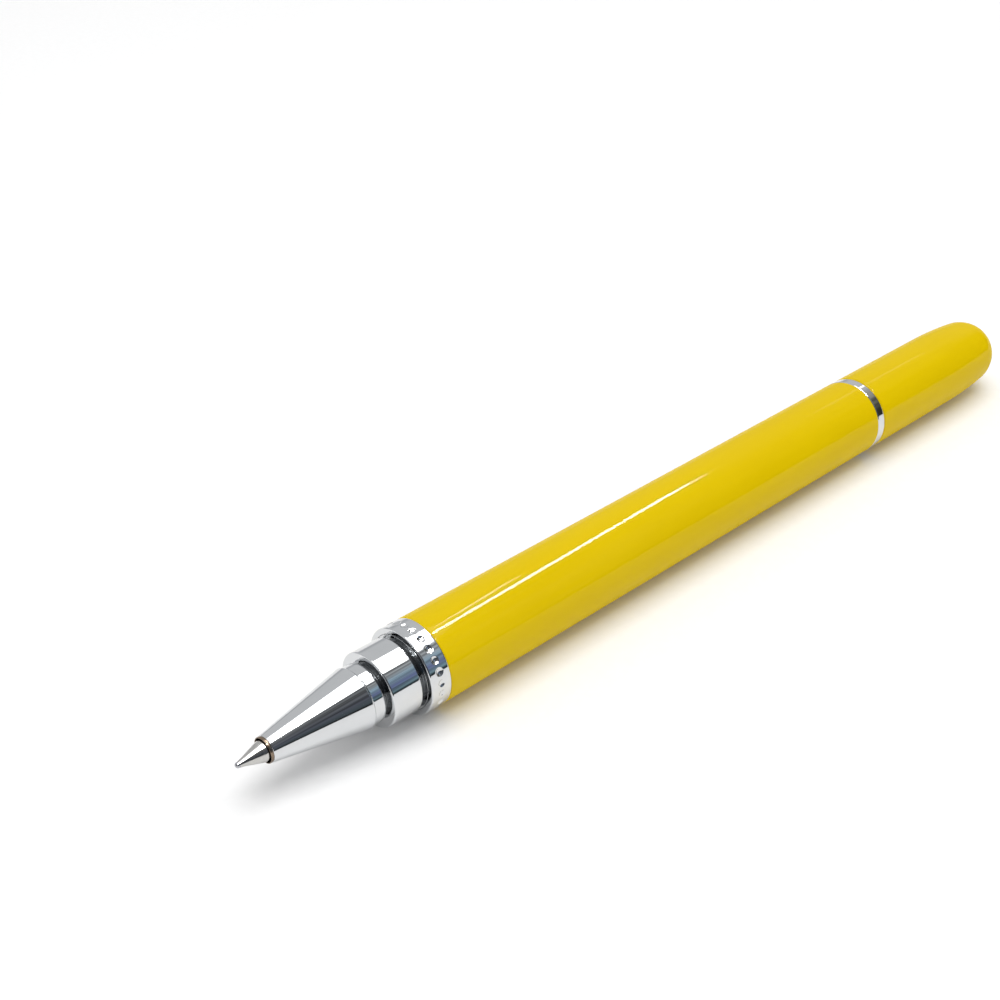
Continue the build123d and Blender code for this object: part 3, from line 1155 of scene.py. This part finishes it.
@dataclass
class Cap:
    """Lacquered shell with its round end, liner, clutch ring, inner cup with its seal, and the core."""

    facets: int = 256
    wall: float = 0.5
    lip_edge: float = 0.28
    dome_radius: float = 5.05
    dome_angle: float = radians(6)
    clutch_bore: float = 4.4
    groove_inset: float = 1.9
    groove_width: float = 1.4
    groove_depth: float = 0.38
    groove_edge: float = 0.05
    liner_fit: float = 0.01
    liner_lead: float = 0.2
    bore_edge: float = 0.1
    arc_steps: int = 36
    dome_steps: int = 40
    inner_dome_steps: int = 24
    inner_arc_steps: int = 16

    def build(self) -> None:
        """Build and dress every piece of the cap."""
        self.shell()
        self.liner()
        dress("clutch_ring", Finish.STEEL)
        dress("inner_cup", Finish.WHITE_PLASTIC)
        dress("cap_plug", Finish.WHITE_PLASTIC)
        dress("cup_seal", Finish.RUBBER)

    def shell(self) -> None:
        """The shell: straight, then drawn in along a long arc that runs into the ball-shaped end."""
        at = span("cap_shell")
        slope = self.dome_angle
        drop = at.radius - self.dome_radius * cos(slope)
        bow = drop / (1 - cos(slope))
        dome_centre = at.end - self.dome_radius
        taper = dome_centre + (self.dome_radius - bow) * sin(slope)
        inner_dome = self.dome_radius - self.wall
        outline = Outline(at.start, at.radius - self.wall, self.bore_edge)
        outline.to(at.start, at.radius, self.lip_edge).to(taper, at.radius)
        outline.swing(taper, at.radius - bow, slope, self.arc_steps)
        outline.swing(dome_centre, 0.0, pi / 2 - slope, self.dome_steps).on_axis()
        outline.to(dome_centre + inner_dome, 0.0)
        outline.swing(dome_centre, 0.0, slope - pi / 2, self.inner_dome_steps)
        outline.swing(taper, at.radius - bow, -slope, self.inner_arc_steps).close()
        mesh = outline.turn(self.facets)
        settle(mesh, "cap_body", Finish.LACQUER, Slot.LACQUER, Body.CAP, "cap_shell")

    def liner(self) -> None:
        """The plastic liner, with the groove that holds the clutch ring and a lead-in at its mouth."""
        at = span("cap_liner")
        groove = span("cap_shell").start + self.groove_inset
        groove_end = groove + self.groove_width
        radius = at.radius - self.liner_fit
        floor = self.clutch_bore + self.groove_depth
        outline = Outline(at.start, self.clutch_bore, self.liner_lead).to(at.start, radius, self.bore_edge)
        outline.to(at.end, radius).to(at.end, self.clutch_bore, self.bore_edge)
        outline.to(groove_end, self.clutch_bore, self.groove_edge).to(groove_end, floor)
        outline.to(groove, floor).to(groove, self.clutch_bore, self.groove_edge).close()
        mesh = outline.turn(self.facets)
        settle(mesh, "cap_lining", Finish.BLACK_PLASTIC, Slot.BLACK, Body.CAP, "cap_liner")


# --- Studio ---


@dataclass(frozen=True)
class Lamp:
    """A soft rectangular lamp over the table, in metres, degrees and watts."""

    name: str
    centre: Triple
    size: tuple[float, float]
    turn: float
    power: float
    only_gloss: bool = False

    def hang(self) -> None:
        """Hang the lamp, facing down."""
        light = bpy.data.lights.new(self.name, "AREA")
        light.shape = "RECTANGLE"
        light.size, light.size_y = self.size
        light.energy = self.power
        holder = bpy.data.objects.new(self.name, light)
        holder.location = self.centre
        holder.rotation_euler = (0.0, 0.0, radians(self.turn))
        holder.visible_diffuse = not self.only_gloss
        bpy.context.scene.collection.objects.link(holder)


@dataclass(frozen=True)
class Surround:
    """What stands round the table: one grey to the eye, and shades by direction in what the pen reflects."""

    backdrop: float = 0.575
    ambient: float = 0.62
    furniture: float = 0.02
    patch_scale: float = 9.0
    patch_detail: float = 3.0
    patch_range: Limits = (0.4, 0.65)
    patch_share: Limits = (0.0, 0.7)
    left_to_right: Limits = (0.2, 0.5)
    right_to_far: Limits = (0.6, 0.72)
    front_to_back: Limits = (-0.15, 0.2)
    back: Stops = (
        (0.0, (0.82, 0.82, 0.82)),
        (0.1, (0.46, 0.47, 0.49)),
        (0.3, (0.66, 0.67, 0.68)),
        (0.9, (0.68, 0.69, 0.70)),
    )
    front_far: Stops = (
        (0.0, (0.04, 0.04, 0.03)),
        (0.25, (0.07, 0.07, 0.05)),
        (0.45, (0.17, 0.17, 0.13)),
        (0.62, (0.40, 0.39, 0.36)),
    )
    front_right: Stops = (
        (0.0, (0.02, 0.03, 0.03)),
        (0.06, (0.05, 0.08, 0.10)),
        (0.12, (0.26, 0.41, 0.47)),
        (0.33, (0.16, 0.19, 0.37)),
        (0.54, (0.42, 0.60, 0.74)),
        (0.7, (0.52, 0.55, 0.57)),
    )
    front_left: Stops = (
        (0.0, (0.01, 0.01, 0.01)),
        (0.06, (0.015, 0.015, 0.015)),
        (0.12, (0.07, 0.09, 0.10)),
        (0.45, (0.11, 0.12, 0.15)),
        (0.8, (0.2, 0.21, 0.22)),
    )

    def build(self) -> None:
        """Build the surround: shades from the horizon up on each side, with dark patches in front."""
        world = bpy.data.worlds.new("surround")
        bpy.context.scene.world = world
        world.use_nodes = True
        nodes = Nodes(world.node_tree)
        direction = nodes.node("TexCoord").outputs["Generated"]
        axes = nodes.node("SeparateXYZ")
        nodes.link(direction, axes.inputs["Vector"])
        x, y, z = axes.outputs
        left, right, far, back = (
            nodes.ramp(z, stops) for stops in (self.front_left, self.front_right, self.front_far, self.back)
        )
        front = nodes.mix(nodes.spread(x, self.left_to_right, curve="SMOOTHSTEP"), left, right)
        front = nodes.mix(nodes.spread(x, self.right_to_far, curve="SMOOTHSTEP"), front, far)
        noise = nodes.pattern(direction, self.patch_scale, self.patch_detail)
        front = nodes.mix(nodes.spread(noise, self.patch_range, self.patch_share), front, self.furniture)
        around = nodes.mix(nodes.spread(y, self.front_to_back, curve="SMOOTHSTEP"), front, back)
        path = nodes.node("LightPath")
        soft = nodes.mix(path.outputs["Is Diffuse Ray"], around, self.ambient)
        seen = nodes.mix(path.outputs["Is Camera Ray"], soft, self.backdrop)
        nodes.link(seen, nodes.tree.nodes["Background"].inputs["Color"])


@dataclass
class Studio:
    """Pale table, overhead softbox with strips that only show as gloss, the surround and the camera."""

    table_size: float = 6.0
    eye: Triple = (-0.13525, -0.1078, 0.1139)
    heading: float = -43.4
    tilt: float = 58.16
    roll: float = -0.47
    lens: float = 54.93
    sensor: float = 36.0
    nearest: float = 0.01
    lamps: tuple[Lamp, ...] = (
        Lamp("softbox", (0.08, -0.04, 1.0), (1.0, 0.84), 0.0, 6.8),
        Lamp("bright_edge", (0.722, 0.132, 0.99), (0.53, 0.08), 40.5, 8.4, only_gloss=True),
        Lamp("faint_edge", (0.635, 0.29, 0.99), (0.22, 0.03), 55.0, 0.5, only_gloss=True),
        Lamp("far_glint", (1.26, 0.32, 0.99), (0.2, 0.12), 0.0, 0.12, only_gloss=True),
        Lamp("top_strip", (0.0, -0.3, 0.97), (0.6, 0.14), 0.0, 9.5, only_gloss=True),
    )

    def build(self) -> None:
        """Set up the table, the lamps, the surround and the camera."""
        self.table()
        for lamp in self.lamps:
            lamp.hang()
        Surround().build()
        self.camera()
        bpy.context.scene.view_settings.view_transform = "Standard"
        log.info("studio: %d lamps", len(self.lamps))

    def table(self) -> None:
        """The pale table top."""
        mesh = bmesh.new()
        bmesh.ops.create_grid(mesh, x_segments=2, y_segments=2, size=self.table_size / 2)
        data = bpy.data.meshes.new("table_top")
        mesh.to_mesh(data)
        mesh.free()
        data.materials.append(material(Finish.PALE_TABLE))
        top = bpy.data.objects.new("table_top", data)
        bpy.context.scene.collection.objects.link(top)

    def camera(self) -> None:
        """The camera over the pen's point, looking along the pen."""
        data = bpy.data.cameras.new("view")
        data.lens = self.lens
        data.sensor_width = self.sensor
        data.clip_start = self.nearest
        holder = bpy.data.objects.new("view", data)
        bpy.context.scene.collection.objects.link(holder)
        aim = Matrix.Rotation(radians(self.heading), 4, "Z") @ Matrix.Rotation(radians(self.tilt), 4, "X")
        holder.matrix_world = Matrix.Translation(self.eye) @ aim @ Matrix.Rotation(radians(self.roll), 4, "Z")
        bpy.context.scene.camera = holder


# --- Build ---


def main() -> None:
    """Build the pen's sub-assemblies in order, then the studio."""
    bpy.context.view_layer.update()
    for assembly in (Barrel(), Nose(), Refill(), Click(), Cap(), Studio()):
        log.info("building the %s", type(assembly).__name__.lower())
        assembly.build()


if __name__ == "__main__":
    main()
